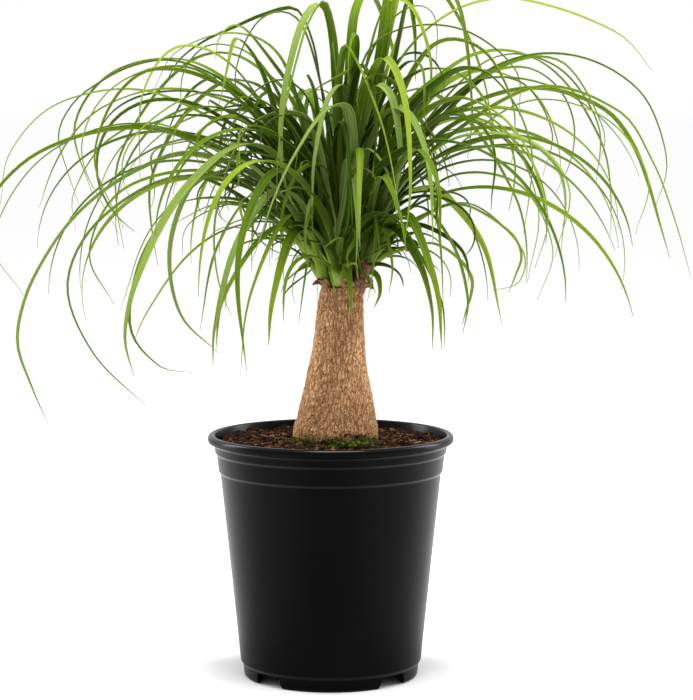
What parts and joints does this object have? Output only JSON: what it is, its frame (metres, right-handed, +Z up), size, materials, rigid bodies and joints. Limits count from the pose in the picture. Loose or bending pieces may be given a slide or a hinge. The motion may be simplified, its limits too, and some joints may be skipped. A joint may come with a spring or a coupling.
{
  "type": "potted ponytail palm",
  "caption": "Ponytail palm with a swollen woody trunk and a fountain of long narrow arching leaves, growing in a tapered black plastic nursery pot with feet.",
  "frame": {"origin": "centre of the pot's base, on the pot's axis, at floor level", "axes": "+Z up along the pot's axis, -Y towards the viewer at the front, +X to the viewer's right"},
  "size_m": [0.7261, 0.649, 0.7413],
  "materials": {
    "pot_plastic": "moulded black polypropylene, satin",
    "potting_soil": "damp dark mix of bark chips, coir and grit",
    "moss": "low soft green cushions",
    "trunk_bark": "tan bark with fine upright fissures and cross cracks",
    "shoot_sheath": "pale green packed leaf bases",
    "leaf_blade": "semi-gloss green blade with fine lengthwise veins"
  },
  "bodies": {
    "root": {"leaf_back_1": "leaf_blade", "leaf_back_2": "leaf_blade", "leaf_back_3": "leaf_blade", "leaf_back_4": "leaf_blade", "leaf_back_5": "leaf_blade", "leaf_back_6": "leaf_blade", "leaf_centre_1": "leaf_blade", "leaf_centre_2": "leaf_blade", "leaf_centre_3": "leaf_blade", "leaf_centre_4": "leaf_blade", "leaf_centre_5": "leaf_blade", "leaf_centre_6": "leaf_blade", "leaf_centre_7": "leaf_blade", "leaf_front_1": "leaf_blade", "leaf_front_2": "leaf_blade", "leaf_front_3": "leaf_blade", "leaf_front_4": "leaf_blade", "leaf_front_5": "leaf_blade", "leaf_front_6": "leaf_blade", "leaf_front_7": "leaf_blade", "leaf_front_8": "leaf_blade", "leaf_left_1": "leaf_blade", "leaf_left_2": "leaf_blade", "leaf_left_3": "leaf_blade", "leaf_left_4": "leaf_blade", "leaf_left_5": "leaf_blade", "leaf_left_6": "leaf_blade", "leaf_left_7": "leaf_blade", "leaf_left_8": "leaf_blade", "leaf_left_9": "leaf_blade", "leaf_rear_1": "leaf_blade", "leaf_rear_2": "leaf_blade", "leaf_rear_3": "leaf_blade", "leaf_rear_4": "leaf_blade", "leaf_rear_5": "leaf_blade", "leaf_rear_6": "leaf_blade", "leaf_right_1": "leaf_blade", "leaf_right_2": "leaf_blade", "leaf_right_3": "leaf_blade", "leaf_right_4": "leaf_blade", "leaf_right_5": "leaf_blade", "leaf_right_6": "leaf_blade", "leaf_right_7": "leaf_blade", "leaf_right_8": "leaf_blade", "moss_front": "moss", "moss_left": "moss", "pot": "pot_plastic", "potting_soil": "potting_soil", "shoot_back": "shoot_sheath", "shoot_centre": "shoot_sheath", "shoot_front": "shoot_sheath", "shoot_left": "shoot_sheath", "shoot_rear": "shoot_sheath", "shoot_right": "shoot_sheath", "trunk": "trunk_bark"}
  },
  "joints": []
}
